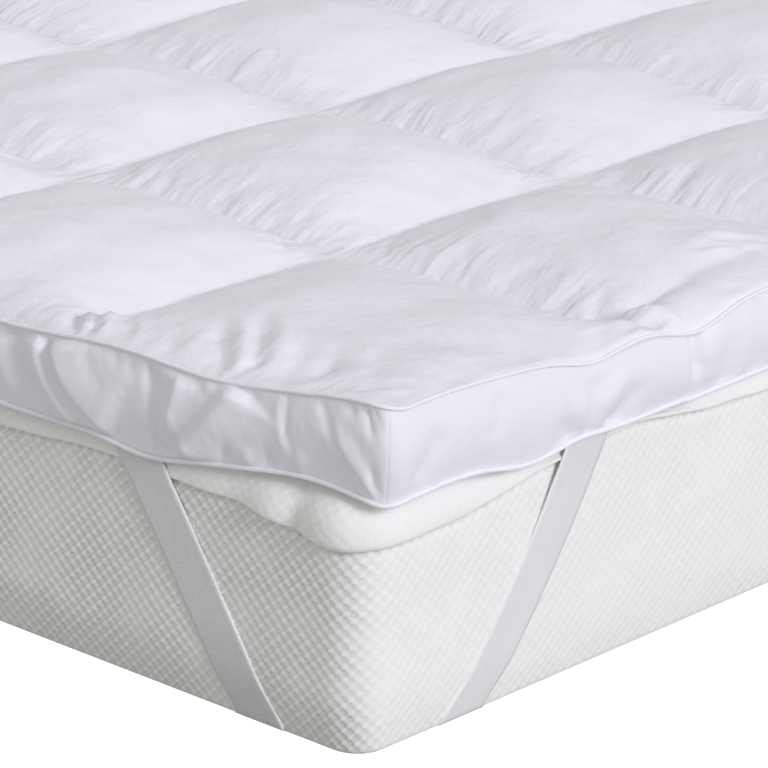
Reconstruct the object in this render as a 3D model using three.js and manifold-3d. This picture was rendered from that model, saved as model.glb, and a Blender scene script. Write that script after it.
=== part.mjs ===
// A box-quilted mattress topper lying on the mattress that its corner straps hold it to.
//
// Units are millimetres and +Z is up. The origin is the middle of the mattress's underside.
// X runs across the bed and Y along it. The topper is one filled solid: a top panel sewn into
// boxes, a side band (the gusset) all round and a flat base panel. A piping cord lies in each of
// its two edge seams, and an elastic strap goes from the lower seam round each mattress corner.

import * as THREE from "three";
import { mergeVertices } from "three/addons/utils/BufferGeometryUtils.js";
import Module from "manifold-3d";

const wasm = await Module();
wasm.setup();

// ---------------------------------------------------------------- driving dimensions

const seat = 0.3; // clearance between two pieces that touch

const mattress = {
  halfWidth: 672,
  halfLength: 947,
  height: 184,
  cornerRadius: 30,
  topRound: 26, // radius of the soft top edge
  bottomRound: 6, // radius of the bottom edge
  lip: 3, // the cover's top panel stands this far proud of the side
  lipHeight: 31, // from the cover's seam up to the top
  lipStep: 3.5, // height of the step at that seam
  lipSag: { depth: 12, reach: 90 }, // that seam hangs lower round the corners
};

const topper = {
  halfWidth: 685,
  halfLength: 957,
  cornerRadius: 18,
  cornerDraw: { depth: 14, reach: 130, from: 200 }, // each end is drawn in beside its corners
  bandHeight: 59, // from the base panel up to the upper seam
  bandBulge: 5, // the filling pushes the side band out this far
  baseInset: 3, // the lower seam lies this far inside the upper one
  baseDroop: 5, // the lower seam hangs this far below the base panel
  undersideInset: 26, // where the base panel starts to lie flat
  waveEnd: 60, // the side's wave gives way to the end's this far before a corner
  crown: 69, // top of a full box above the base panel
  seamHeight: 45, // sewn channel above the base panel
};

const quilt = {
  columns: 5,
  rows: 7,
  boxWidth: 258, // between two inner seams, across the bed
  boxLength: 264, // the same, along the bed
  seamEnd: 78, // the seams stop this far inside the piping
  edgeRoll: 110, // width of the roll from the piping up to the crown
  seamFade: 60, // a seam's channel dies out over this length past its end
  boxiness: 2.6, // how flat a box's top is: 2 is a plain arc
  roundness: 0.62, // exponent of the box's arc: smaller is fuller
  crownSpread: 1.5, // how far one box's crown differs from the next
  cornerDrop: 3, // the corner boxes are this much lower
};

const piping = { upperRadius: 1.9, lowerRadius: 2.3, standOff: 0.6, sides: 6 };

const strap = {
  thickness: 1.4,
  halfWidth: 22.5, // half of its width, measured along the mattress edge
  recess: 2, // depth of the groove that it presses into the underside
  grooveSide: 5, // room on each side of it in that groove
  groovePast: 18, // the groove's block runs out past both sides by this much
  insideSeam: 3, // its upper end lies this far inside the topper's lower seam
  aboveSeam: 0.4, // and reaches this far above it
  // middle of it to the mattress's corner, at its upper end and at the bottom edge; a bend over 1
  // keeps it upright for longer at the top
  onEnd: { top: 204, bottom: 95, bend: 1 },
  onSide: { top: 220, bottom: 109, bend: 1.3 },
};

const baseHeight = mattress.height + seat;

// How far the edge seams dip below level near each corner, where the straps pull and the quilting
// puckers the edge. The distance runs from the corner along the end or the side; a negative drop
// is a rise.
const seamDips = [
  { seam: "upper", edge: "end", distance: 0, drop: -10, reach: 80 },
  { seam: "upper", edge: "end", distance: 150, drop: 3.5, reach: 50 },
  { seam: "upper", edge: "end", distance: 335, drop: 9, reach: 85 },
  { seam: "upper", edge: "side", distance: 60, drop: -8, reach: 95 },
  { seam: "upper", edge: "side", distance: 222, drop: 8, reach: 36 },
  { seam: "upper", edge: "side", distance: 338, drop: 12, reach: 40 },
  { seam: "lower", edge: "end", distance: 70, drop: -9, reach: 60 },
  { seam: "lower", edge: "end", distance: 205, drop: 8, reach: 42 },
  { seam: "lower", edge: "end", distance: 340, drop: 6, reach: 110 },
  { seam: "lower", edge: "side", distance: 70, drop: -6, reach: 80 },
  { seam: "lower", edge: "side", distance: 420, drop: -3, reach: 90 },
];

// ---------------------------------------------------------------- small helpers

const clamp01 = (value) => Math.min(1, Math.max(0, value));

function smooth(value) {
  const t = clamp01(value);
  return t * t * (3 - 2 * t);
}

const bump = (distance, reach) => Math.exp(-((distance / reach) ** 2));

// A repeatable number from -1 to 1 for a pair of whole numbers.
function scatter(i, j) {
  const wave = Math.sin(i * 12.9898 + j * 78.233) * 43758.5453;
  return 2 * (wave - Math.floor(wave)) - 1;
}

// A closed mesh from corner points and triangles that face out.
function meshGeometry(points, triangles) {
  const geometry = new THREE.BufferGeometry();
  geometry.setAttribute("position", new THREE.Float32BufferAttribute(points.flat(), 3));
  geometry.setIndex(triangles.flat());
  geometry.computeVertexNormals();
  return geometry;
}

// Joins neighbouring closed rings of equal length with quads, as two triangles each.
function stitchRings(first, second, count) {
  const triangles = [];
  for (let i = 0; i < count; i++) {
    const next = (i + 1) % count;
    triangles.push([first + i, second + i, second + next]);
    triangles.push([first + i, second + next, first + next]);
  }
  return triangles;
}

// ---------------------------------------------------------------- booleans

function solidOf(geometry) {
  const bare = geometry.clone();
  bare.deleteAttribute("normal");
  bare.deleteAttribute("uv");
  const merged = mergeVertices(bare, 1e-3);
  return new wasm.Manifold(
    new wasm.Mesh({
      numProp: 3,
      vertProperties: merged.attributes.position.array,
      triVerts: new Uint32Array(merged.index.array),
    }),
  );
}

function geometryOf(solid) {
  const mesh = solid.getMesh();
  const geometry = new THREE.BufferGeometry();
  geometry.setAttribute("position", new THREE.BufferAttribute(mesh.vertProperties, 3));
  geometry.setIndex(new THREE.BufferAttribute(mesh.triVerts, 1));
  geometry.computeVertexNormals();
  return geometry;
}

// ---------------------------------------------------------------- the quilted surface

// Seam positions across one direction of the quilt, symmetric about the middle.
function seamLines(boxes, pitch) {
  return Array.from({ length: boxes - 1 }, (_, k) => (k - (boxes - 2) / 2) * pitch);
}

const seamsAcross = seamLines(quilt.columns, quilt.boxWidth); // x of each seam that runs along Y
const seamsAlong = seamLines(quilt.rows, quilt.boxLength); // y of each seam that runs along X

// Grid lines from edge to edge, closer together beside every seam and beside the edge.
function gridLines(halfSize, seams, stepsInBox, stepsAtEdge) {
  const marks = [-halfSize, ...seams, halfSize];
  const lines = [-halfSize];
  for (let k = 1; k < marks.length; k++) {
    const outer = k === 1 || k === marks.length - 1;
    const steps = outer ? stepsAtEdge : stepsInBox;
    for (let i = 1; i <= steps; i++) {
      const eased = 0.5 - 0.5 * Math.cos((Math.PI * i) / steps);
      lines.push(marks[k - 1] + (marks[k] - marks[k - 1]) * eased);
    }
  }
  return lines;
}

// Where a position lies in its box: 0 on a seam, 1 in the middle of the box. At the outer boxes
// only the inner side has a seam.
function fullness(position, seams, halfSize) {
  const marks = [-halfSize, ...seams, halfSize];
  let k = 1;
  while (k < marks.length - 1 && position > marks[k]) k++;
  const low = marks[k - 1];
  const high = marks[k];
  const inner = seams[1] - seams[0];
  let fromSeam = Math.min(position - low, high - position);
  if (k === 1) fromSeam = high - position;
  if (k === marks.length - 1) fromSeam = position - low;
  const share = clamp01(fromSeam / (inner / 2));
  const arc = Math.pow(1 - (1 - share) ** quilt.boxiness, quilt.roundness);
  return { box: k, outer: k === 1 || k === marks.length - 1, arc };
}

// Height of the top panel above the base panel.
function quiltHeight(x, y, upperSeamHeight) {
  const toSide = topper.halfWidth - Math.abs(x);
  const toEnd = topper.halfLength - Math.abs(y);
  const across = fullness(x, seamsAcross, topper.halfWidth);
  const along = fullness(y, seamsAlong, topper.halfLength);
  // a seam's channel is full inside its end and shallow past it
  const holdsAcross = smooth((toEnd - quilt.seamEnd + quilt.seamFade) / quilt.seamFade);
  const holdsAlong = smooth((toSide - quilt.seamEnd + quilt.seamFade) / quilt.seamFade);
  const filled = (1 - holdsAcross * (1 - across.arc)) * (1 - holdsAlong * (1 - along.arc));
  const inCorner = across.outer && along.outer;
  const spread = quilt.crownSpread * scatter(across.box, along.box);
  const crown = topper.crown + spread - (inCorner ? quilt.cornerDrop : 0);
  const inside = topper.seamHeight + (crown - topper.seamHeight) * filled;
  const roll = (distance) => Math.pow(1 - (1 - clamp01(distance / quilt.edgeRoll)) ** 2, 0.6);
  return upperSeamHeight + (inside - upperSeamHeight) * roll(toSide) * roll(toEnd);
}

// ---------------------------------------------------------------- the topper's edge

// How far an edge seam drops at a place on the edge.
function dipAt(seam, x, y) {
  const onEnd = topper.halfLength - Math.abs(y) < topper.halfWidth - Math.abs(x);
  const distance = onEnd ? topper.halfWidth - Math.abs(x) : topper.halfLength - Math.abs(y);
  const rows = seamDips.filter((row) => row.seam === seam && row.edge === (onEnd ? "end" : "side"));
  return rows.reduce((sum, row) => sum + row.drop * bump(distance - row.distance, row.reach), 0);
}

// The edge waves a little between its corners, as a soft filled edge does.
function edgeWave(x, y) {
  const along = Math.abs(x) > topper.halfWidth - topper.waveEnd ? y : x;
  return 1.6 * Math.sin(along / 71 + x / 500) + 1.2 * Math.sin(along / 37 + y / 300);
}

function upperSeamHeight(x, y) {
  return topper.bandHeight - dipAt("upper", x, y) + 0.6 * edgeWave(x, y);
}

function lowerSeamHeight(x, y) {
  return -topper.baseDroop - dipAt("lower", x, y) + 0.5 * edgeWave(y, x);
}

// Rounds a corner of the square grid by sliding the points near it towards its centre.
function roundCorner(x, y, halfWidth, halfLength, radius) {
  const a = (Math.abs(x) - (halfWidth - radius)) / radius;
  const b = (Math.abs(y) - (halfLength - radius)) / radius;
  if (a <= 0 || b <= 0) return [x, y];
  const signX = Math.sign(x);
  const signY = Math.sign(y);
  return [
    signX * (halfWidth - radius + radius * a * Math.sqrt(1 - (b * b) / 2)),
    signY * (halfLength - radius + radius * b * Math.sqrt(1 - (a * a) / 2)),
  ];
}

// Where a point of the square grid lies in plan: rounded at the corners, and drawn in at the ends.
function planPoint(x, y) {
  const { halfWidth, halfLength, cornerRadius, cornerDraw } = topper;
  const [roundX, roundY] = roundCorner(x, y, halfWidth, halfLength, cornerRadius);
  const nearEnd = smooth((Math.abs(y) - halfLength + cornerDraw.from) / cornerDraw.from);
  const drawn = cornerDraw.depth * nearEnd * bump(halfWidth - Math.abs(x), cornerDraw.reach);
  return [roundX, roundY - Math.sign(y) * drawn];
}

const gridX = gridLines(topper.halfWidth, seamsAcross, 8, 10);
const gridY = gridLines(topper.halfLength, seamsAlong, 8, 10);

// The grid's outer points in order, anticlockwise seen from above, starting at the front left.
function edgePoints() {
  const lastX = gridX.length - 1;
  const lastY = gridY.length - 1;
  const cells = [];
  for (let i = 0; i < lastX; i++) cells.push([i, 0]);
  for (let j = 0; j < lastY; j++) cells.push([lastX, j]);
  for (let i = lastX; i > 0; i--) cells.push([i, lastY]);
  for (let j = lastY; j > 0; j--) cells.push([0, j]);
  const points = cells.map(([i, j]) => planPoint(gridX[i], gridY[j]));
  return points.map(([x, y], k) => {
    const before = points[(k + points.length - 1) % points.length];
    const after = points[(k + 1) % points.length];
    const run = new THREE.Vector2(after[0] - before[0], after[1] - before[1]).normalize();
    const [i, j] = cells[k];
    const upper = upperSeamHeight(gridX[i], gridY[j]);
    const lower = lowerSeamHeight(gridX[i], gridY[j]);
    return { x, y, outX: run.y, outY: -run.x, upper, lower, cell: cells[k] };
  });
}

const edge = edgePoints();

// A point on the side band. "down" runs from 0 at the upper seam to 1 at the lower seam.
function bandPoint(point, down) {
  const { upper, lower } = point;
  const bulge = topper.bandBulge * Math.sin(Math.PI * down) * (1 + 0.3 * edgeWave(point.y, point.x) / 3);
  const out = bulge - topper.baseInset * down;
  return [
    point.x + point.outX * out,
    point.y + point.outY * out,
    baseHeight + upper + (lower - upper) * down,
  ];
}

// ---------------------------------------------------------------- pieces

function topperGeometry() {
  const points = [];
  const index = (i, j) => j * gridX.length + i;
  for (const y of gridY) {
    for (const x of gridX) {
      points.push([...planPoint(x, y), baseHeight + quiltHeight(x, y, upperSeamHeight(x, y))]);
    }
  }
  const triangles = [];
  for (let j = 0; j < gridY.length - 1; j++) {
    for (let i = 0; i < gridX.length - 1; i++) {
      const a = index(i, j);
      const b = index(i + 1, j);
      const c = index(i + 1, j + 1);
      const d = index(i, j + 1);
      const rising = (i + j) % 2 === 0;
      if (rising) triangles.push([a, b, c], [a, c, d]);
      else triangles.push([a, b, d], [b, c, d]);
    }
  }

  // side band, from the upper seam down, then the flat base panel
  const count = edge.length;
  const bandRows = [0.25, 0.5, 0.75, 1];
  let above = null;
  for (const down of bandRows) {
    const start = points.length;
    for (const point of edge) points.push(bandPoint(point, down));
    if (above === null) {
      for (let k = 0; k < count; k++) {
        const next = (k + 1) % count;
        const top = index(...edge[k].cell);
        const topNext = index(...edge[next].cell);
        triangles.push([top, start + k, start + next], [top, start + next, topNext]);
      }
    } else {
      triangles.push(...stitchRings(above, start, count));
    }
    above = start;
  }
  let inner = above;
  for (const [share, droop] of [[0.45, 0.35], [1, 0]]) {
    const start = points.length;
    for (const point of edge) {
      const inset = topper.undersideInset * share;
      const z = baseHeight + droop * point.lower;
      points.push([point.x - point.outX * inset, point.y - point.outY * inset, z]);
    }
    triangles.push(...stitchRings(inner, start, count));
    inner = start;
  }
  const middle = points.length;
  points.push([0, 0, baseHeight]);
  for (let k = 0; k < count; k++) triangles.push([inner + k, middle, inner + ((k + 1) % count)]);
  return meshGeometry(points, triangles);
}

// A cord of round section in one of the two edge seams, closed on itself.
function pipingGeometry(down, radius) {
  const points = [];
  for (const station of edge) {
    const [x, y, z] = bandPoint(station, down);
    const out = radius + piping.standOff;
    for (let s = 0; s < piping.sides; s++) {
      const angle = (2 * Math.PI * s) / piping.sides;
      const reach = out + radius * Math.cos(angle);
      points.push([
        x + station.outX * reach,
        y + station.outY * reach,
        z + radius * Math.sin(angle),
      ]);
    }
  }
  const triangles = [];
  for (let k = 0; k < edge.length; k++) {
    const here = k * piping.sides;
    const there = ((k + 1) % edge.length) * piping.sides;
    for (let s = 0; s < piping.sides; s++) {
      const next = (s + 1) % piping.sides;
      triangles.push([here + s, there + s, there + next], [here + s, there + next, here + next]);
    }
  }
  return meshGeometry(points, triangles);
}

// The rounded outline of the mattress, grown or shrunk by an inset, with a few stations along each
// straight run beside the corners.
function mattressOutline(inset) {
  const stepsPerCorner = 7;
  const beside = [90, 50, 20]; // distances past the rounding
  const radius = mattress.cornerRadius - inset;
  const centreX = mattress.halfWidth - mattress.cornerRadius;
  const centreY = mattress.halfLength - mattress.cornerRadius;
  const outline = [];
  [[1, -1], [1, 1], [-1, 1], [-1, -1]].forEach(([signX, signY], corner) => {
    const start = (corner - 1) * (Math.PI / 2);
    const arrive = new THREE.Vector2(Math.cos(start), Math.sin(start));
    const leave = new THREE.Vector2(-Math.sin(start), Math.cos(start));
    const centre = new THREE.Vector2(centreX * signX, centreY * signY);
    const place = (out, along) => {
      const point = centre.clone().addScaledVector(arrive, out).addScaledVector(leave, along);
      outline.push([point.x, point.y]);
    };
    for (const distance of beside) place(radius, -distance);
    for (let i = 0; i <= stepsPerCorner; i++) {
      const angle = (Math.PI / 2) * (i / stepsPerCorner);
      place(radius * Math.cos(angle), radius * Math.sin(angle));
    }
    for (const distance of [...beside].reverse()) place(-distance, radius);
  });
  return outline;
}

// Rings of the mattress from its underside up: how far in, and how high. "sag" is the part of the
// seam's sag at the corners that a ring follows.
function mattressProfile() {
  const { bottomRound, topRound, lip, lipHeight, lipStep, height } = mattress;
  const rings = [];
  for (const turn of [0, 30, 60, 90]) {
    const angle = THREE.MathUtils.degToRad(turn);
    rings.push({
      inset: bottomRound * (1 - Math.sin(angle)),
      z: bottomRound * (1 - Math.cos(angle)),
      sag: 0,
    });
  }
  const seam = height - lipHeight;
  rings.push({ inset: 0, z: seam, sag: 1 }, { inset: -lip, z: seam + lipStep, sag: 1 });
  for (const turn of [0, 22.5, 45, 67.5, 90]) {
    const angle = THREE.MathUtils.degToRad(turn);
    rings.push({
      inset: topRound * (1 - Math.cos(angle)) - lip,
      z: height - topRound * (1 - Math.sin(angle)),
      sag: turn === 0 ? 0.5 : 0,
    });
  }
  return rings;
}

// The block that presses a strap's groove into the underside across one corner.
function grooveGeometry(signX, signY) {
  const half = strap.halfWidth + strap.grooveSide;
  const { halfWidth, halfLength } = mattress;
  const rim = (shift) => {
    const side = new THREE.Vector2(halfWidth, halfLength - strap.onSide.bottom - shift);
    const end = new THREE.Vector2(halfWidth - strap.onEnd.bottom - shift, halfLength);
    const run = end.clone().sub(side).setLength(strap.groovePast);
    return [side.sub(run), end.add(run)];
  };
  const corners = [...rim(-half), ...rim(half).reverse()];
  const shape = new THREE.Shape(corners.map(({ x, y }) => new THREE.Vector2(x * signX, y * signY)));
  const block = new THREE.ExtrudeGeometry(shape, { depth: strap.recess + 1, bevelEnabled: false });
  return block.translate(0, 0, -1);
}

function mattressGeometry() {
  const points = [];
  const triangles = [];
  const profile = mattressProfile();
  const count = mattressOutline(0).length;
  for (const ring of profile) {
    for (const [x, y] of mattressOutline(ring.inset)) {
      const fromCorner = Math.hypot(mattress.halfWidth - Math.abs(x), mattress.halfLength - Math.abs(y));
      const sag = ring.sag * mattress.lipSag.depth * bump(fromCorner, mattress.lipSag.reach);
      points.push([x, y, ring.z - sag]);
    }
  }
  for (let r = 0; r < profile.length - 1; r++) {
    triangles.push(...stitchRings((r + 1) * count, r * count, count));
  }
  const underside = points.length;
  points.push([0, 0, 0], [0, 0, mattress.height]);
  const top = (profile.length - 1) * count;
  for (let k = 0; k < count; k++) {
    const next = (k + 1) % count;
    triangles.push([k, underside, next], [top + k, top + next, underside + 1]);
  }
  let solid = solidOf(meshGeometry(points, triangles));
  for (const [signX, signY] of strapCorners) {
    solid = solid.subtract(solidOf(grooveGeometry(signX, signY)));
  }
  return geometryOf(solid);
}

const strapCorners = [
  [1, -1],
  [1, 1],
  [-1, 1],
  [-1, -1],
];

// How a strap's inner and outer faces run from the topper's lower seam, over the cover's lip, down
// the mattress's side and into its groove: distance outside the side, height, and how far down.
function strapSide(seamOut) {
  const { bottomRound, topRound, height, lip, lipHeight } = mattress;
  const { thickness, recess, insideSeam, aboveSeam } = strap;
  const upright = (out, z) => ({ inner: [out, z], outer: [out + thickness, z] });
  const top = baseHeight - topper.baseDroop + aboveSeam;
  const stations = [
    upright(seamOut - insideSeam - thickness, top),
    upright(lip + seat, height - topRound - 2),
    upright(lip + seat, height - lipHeight),
    upright(lip * 0.6 + seat, height * 0.6),
    upright(lip * 0.25 + seat, height * 0.28),
    upright(seat + 0.2, bottomRound),
  ];
  const innerRadius = bottomRound + seat + 0.2;
  const rise = bottomRound - recess + seat;
  const innerEnd = Math.asin(rise / innerRadius);
  const outerEnd = Math.asin((rise + thickness) / (innerRadius + thickness));
  const turned = (radius, angle) => [
    radius * Math.cos(angle) - bottomRound,
    bottomRound - radius * Math.sin(angle),
  ];
  for (const turn of [0.56, 1]) {
    const inner = turned(innerRadius, innerEnd * turn);
    const outer = turned(innerRadius + thickness, outerEnd * turn);
    stations.push({ inner, outer });
  }
  const place = (z) => Math.min((top - z) / (top - bottomRound), 1);
  return stations.map(({ inner, outer }) => ({ inner, outer, down: place(inner[1]) }));
}

// One elastic strap: down one side, across under the corner, and up the other side.
function strapGeometry(signX, signY) {
  const { halfWidth, halfLength } = mattress;
  const points = [];
  const station = (place, onEnd) => {
    const run = onEnd ? strap.onEnd : strap.onSide;
    const centre = run.top + (run.bottom - run.top) * place.down ** run.bend;
    for (const [face, edgeSide] of [["inner", -1], ["inner", 1], ["outer", 1], ["outer", -1]]) {
      const [out, height] = place[face];
      const fromCorner = centre + strap.halfWidth * edgeSide;
      const x = (onEnd ? halfWidth - fromCorner : halfWidth + out) * signX;
      const y = (onEnd ? halfLength + out : halfLength - fromCorner) * signY;
      const dip = place.down === 0 ? Math.min(lowerSeamHeight(x, y) + topper.baseDroop, 0) : 0;
      points.push([x, y, height + dip]);
    }
  };
  const endSeam = topper.halfLength - topper.baseInset - halfLength;
  const sideSeam = topper.halfWidth - topper.baseInset - halfWidth;
  for (const place of strapSide(endSeam)) station(place, true);
  for (const place of strapSide(sideSeam).reverse()) station(place, false);
  const triangles = [];
  const rings = points.length / 4;
  for (let r = 0; r < rings - 1; r++) {
    for (let s = 0; s < 4; s++) {
      const a = r * 4 + s;
      const b = r * 4 + ((s + 1) % 4);
      triangles.push([a, a + 4, b + 4], [a, b + 4, b]);
    }
  }
  const last = (rings - 1) * 4;
  triangles.push([0, 1, 2], [0, 2, 3], [last, last + 2, last + 1], [last, last + 3, last + 2]);
  const flips = signX * signY > 0 ? triangles.map(([a, b, c]) => [a, c, b]) : triangles;
  return meshGeometry(points, flips);
}

// ---------------------------------------------------------------- finishes and assembly

function finish(color, roughness) {
  return new THREE.MeshStandardMaterial({ color, roughness, metalness: 0 });
}

const finishes = {
  topperCotton: finish(0xf1f1f6, 0.72),
  pipingCotton: finish(0xf4f4f8, 0.62),
  strapElastic: finish(0xd9d9d9, 0.55),
  mattressKnit: finish(0xe6e6e2, 0.85),
};

function piece(name, geometry, material) {
  const mesh = new THREE.Mesh(geometry, material);
  mesh.name = name;
  return mesh;
}

const bed = new THREE.Group();
bed.add(piece("mattress", mattressGeometry(), finishes.mattressKnit));
bed.add(piece("topper", topperGeometry(), finishes.topperCotton));
bed.add(piece("piping_upper", pipingGeometry(0, piping.upperRadius), finishes.pipingCotton));
bed.add(piece("piping_lower", pipingGeometry(1, piping.lowerRadius), finishes.pipingCotton));
strapCorners.forEach(([signX, signY]) => {
  const where = (signY < 0 ? "front" : "back") + "_" + (signX > 0 ? "right" : "left");
  bed.add(piece("strap_" + where, strapGeometry(signX, signY), finishes.strapElastic));
});

export default bed;
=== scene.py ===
import math

import bmesh
import bpy
import numpy as np
from mathutils import Matrix, Vector


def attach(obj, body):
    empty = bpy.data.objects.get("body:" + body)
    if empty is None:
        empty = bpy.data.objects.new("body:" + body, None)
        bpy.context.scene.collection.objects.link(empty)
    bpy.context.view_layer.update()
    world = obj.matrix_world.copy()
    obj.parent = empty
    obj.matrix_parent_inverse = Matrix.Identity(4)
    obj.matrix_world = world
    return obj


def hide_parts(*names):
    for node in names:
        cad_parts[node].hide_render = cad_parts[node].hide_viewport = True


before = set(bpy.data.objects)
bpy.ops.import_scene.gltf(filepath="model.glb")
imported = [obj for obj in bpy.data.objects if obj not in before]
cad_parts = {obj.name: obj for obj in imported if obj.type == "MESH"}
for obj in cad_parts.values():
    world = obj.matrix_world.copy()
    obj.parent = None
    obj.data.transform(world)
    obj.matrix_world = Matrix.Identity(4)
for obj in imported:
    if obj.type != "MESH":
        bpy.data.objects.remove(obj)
bpy.ops.object.select_all(action="DESELECT")
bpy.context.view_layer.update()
mm = 0.001
print("frame loaded:", len(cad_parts), "nodes")


class Wire:
    # an output socket of a node tree that can be used in sums
    def __init__(self, tree, socket):
        self.tree = tree
        self.socket = socket

    def node(self, kind, setup, sockets, out=0):
        made = self.tree.nodes.new(kind)
        for key, value in setup.items():
            if key == "stops":
                ramp = made.color_ramp
                while len(ramp.elements) < len(value):
                    ramp.elements.new(0.5)
                for stop, (place, tone) in zip(ramp.elements, value):
                    stop.position = place
                    stop.color = (tone, tone, tone, 1)
            else:
                setattr(made, key, value)
        for key, value in sockets.items():
            if isinstance(value, Wire):
                self.tree.links.new(value.socket, made.inputs[key])
            else:
                made.inputs[key].default_value = value
        return Wire(self.tree, made.outputs[out])

    def math(self, operation, *values):
        return self.node("ShaderNodeMath", {"operation": operation}, dict(enumerate(values)))

    def __add__(self, other):
        return self.math("ADD", self, other)

    def __radd__(self, other):
        return self.math("ADD", other, self)

    def __sub__(self, other):
        return self.math("SUBTRACT", self, other)

    def __rsub__(self, other):
        return self.math("SUBTRACT", other, self)

    def __mul__(self, other):
        return self.math("MULTIPLY", self, other)

    def __rmul__(self, other):
        return self.math("MULTIPLY", other, self)

    def sine(self):
        return self.math("SINE", self)

    def size(self):
        return self.math("ABSOLUTE", self)

    def axes(self):
        split = self.node("ShaderNodeSeparateXYZ", {}, {0: self}).socket.node
        return [Wire(self.tree, socket) for socket in split.outputs]

    def noise(self, scale, detail=2.0, roughness=0.5):
        sockets = {"Vector": self, "Scale": scale, "Detail": detail, "Roughness": roughness}
        return self.node("ShaderNodeTexNoise", {}, sockets)

    def ramp(self, low, high):
        sockets = {"Value": self, "From Min": low, "From Max": high}
        return self.node("ShaderNodeMapRange", {"interpolation_type": "SMOOTHSTEP"}, sockets)

    def mix(self, first, second):
        # the first colour where this mask is 0, the second where it is 1
        tones = [tone if isinstance(tone, Wire) else (*tone, 1) for tone in (first, second)]
        sockets = {0: self, 6: tones[0], 7: tones[1]}
        return self.node("ShaderNodeMix", {"data_type": "RGBA"}, sockets, 2)


class Finish:
    # a fabric: its Principled shader with the fixed values set, and wires to read places from
    def __init__(self, name, roughness, sheen, specular):
        self.material = bpy.data.materials.new(name)
        self.material.use_nodes = True
        tree = self.material.node_tree
        self.shader = tree.nodes["Principled BSDF"]
        self.shader.inputs["Roughness"].default_value = roughness
        self.shader.inputs["Sheen Weight"].default_value = sheen
        self.shader.inputs["Sheen Roughness"].default_value = 0.5
        self.shader.inputs["Specular IOR Level"].default_value = specular
        places = tree.nodes.new("ShaderNodeTexCoord")
        self.place = Wire(tree, places.outputs["Object"])
        self.unwrapped = Wire(tree, places.outputs["UV"])
        self.tree = tree

    def attribute(self, name):
        return self.place.node("ShaderNodeAttribute", {"attribute_name": name}, {}, 2)

    def joined(self, *parts):
        return self.place.node("ShaderNodeCombineXYZ", {}, dict(enumerate(parts)))

    def colour(self, tone):
        self.tree.links.new(tone.socket, self.shader.inputs["Base Color"])

    def relief(self, height, depth, strength=1.0, over=None):
        # bumps of the given depth in metres, laid over an earlier relief
        sockets = {"Height": height, "Distance": depth, "Strength": strength}
        if over is not None:
            sockets["Normal"] = over
        bump = self.place.node("ShaderNodeBump", {}, sockets)
        self.tree.links.new(bump.socket, self.shader.inputs["Normal"])
        return bump


viewPlan = {
    "place": (2.5655, -3.1281, 1.2859),
    "turn": 40.8,  # degrees about the vertical
    "down": 19.4,
    "roll": 1.76,
    "lens": 223.453,
    "sensor": 36,
}


def makeCamera(plan):
    turn, down, roll = (math.radians(plan[key]) for key in ("turn", "down", "roll"))
    level = math.cos(down)
    back = Vector((math.sin(turn) * level, -math.cos(turn) * level, math.sin(down)))
    right = Vector((math.cos(turn), math.sin(turn), 0))
    up = back.cross(right)
    side = right * math.cos(roll) + up * math.sin(roll)
    above = up * math.cos(roll) - right * math.sin(roll)
    camera = bpy.data.objects.new("camera", bpy.data.cameras.new("camera"))
    bpy.context.scene.collection.objects.link(camera)
    camera.data.lens = plan["lens"]
    camera.data.sensor_width = plan["sensor"]
    turned = Matrix((side, above, back)).transposed().to_4x4()
    camera.matrix_world = Matrix.Translation(plan["place"]) @ turned
    bpy.context.scene.camera = camera


studioPlan = {
    "skyAbove": (0.555, 0.555, 0.555),
    "skyBelow": (0.42, 0.42, 0.41),
    "skyBlend": 0.35,
    "sunFrom": (0.875, -0.12, 0.46),
    "sunStrength": 1.47,
    "sunColour": (1.0, 0.985, 1.1),
    "sunAngle": 20,
    "floorSize": 30,
    "floorHeight": -0.0005,
    "floorColour": (0.9, 0.9, 0.9),
    "floorRoughness": 0.9,
    "floorGlow": 0.9,
}


def makeStudio(plan):
    scene = bpy.context.scene
    scene.view_settings.view_transform = "Standard"
    world = bpy.data.worlds.new("studio")
    world.use_nodes = True
    tree = world.node_tree
    facing = Wire(tree, tree.nodes.new("ShaderNodeTexCoord").outputs["Generated"]).axes()[2]
    sky = facing.ramp(-plan["skyBlend"], plan["skyBlend"]).mix(plan["skyBelow"], plan["skyAbove"])
    tree.links.new(sky.socket, tree.nodes["Background"].inputs["Color"])
    scene.world = world

    lamp = bpy.data.lights.new("sun", "SUN")
    lamp.energy = plan["sunStrength"]
    lamp.color = plan["sunColour"]
    lamp.angle = math.radians(plan["sunAngle"])
    sun = bpy.data.objects.new("sun", lamp)
    sun.rotation_mode = "QUATERNION"
    sun.rotation_quaternion = Vector(plan["sunFrom"]).to_track_quat("Z", "Y")
    scene.collection.objects.link(sun)

    bpy.ops.mesh.primitive_plane_add(size=plan["floorSize"], location=(0, 0, plan["floorHeight"]))
    floor = bpy.context.object
    floor.name = "floor"
    paint = bpy.data.materials.new("floorPaint")
    paint.use_nodes = True
    shader = paint.node_tree.nodes["Principled BSDF"]
    shader.inputs["Base Color"].default_value = (*plan["floorColour"], 1)
    shader.inputs["Roughness"].default_value = plan["floorRoughness"]
    shader.inputs["Emission Color"].default_value = (1, 1, 1, 1)
    shader.inputs["Emission Strength"].default_value = plan["floorGlow"]
    floor.data.materials.append(paint)
    floor.visible_diffuse = floor.visible_glossy = False  # keeps its glow off the mattress
    floor.select_set(False)


makeCamera(viewPlan)
makeStudio(studioPlan)
print("camera and studio made")


def smoothStep(value):
    t = np.clip(value, 0, 1)
    return t * t * (3 - 2 * t)


def hump(distance, reach):
    return np.exp(-((distance / reach) ** 2))


def humps(distance, rows):
    # the sum of humps, each given by its place, rise and reach
    return sum(rise * hump(distance - at, reach) for at, rise, reach in rows)


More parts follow.
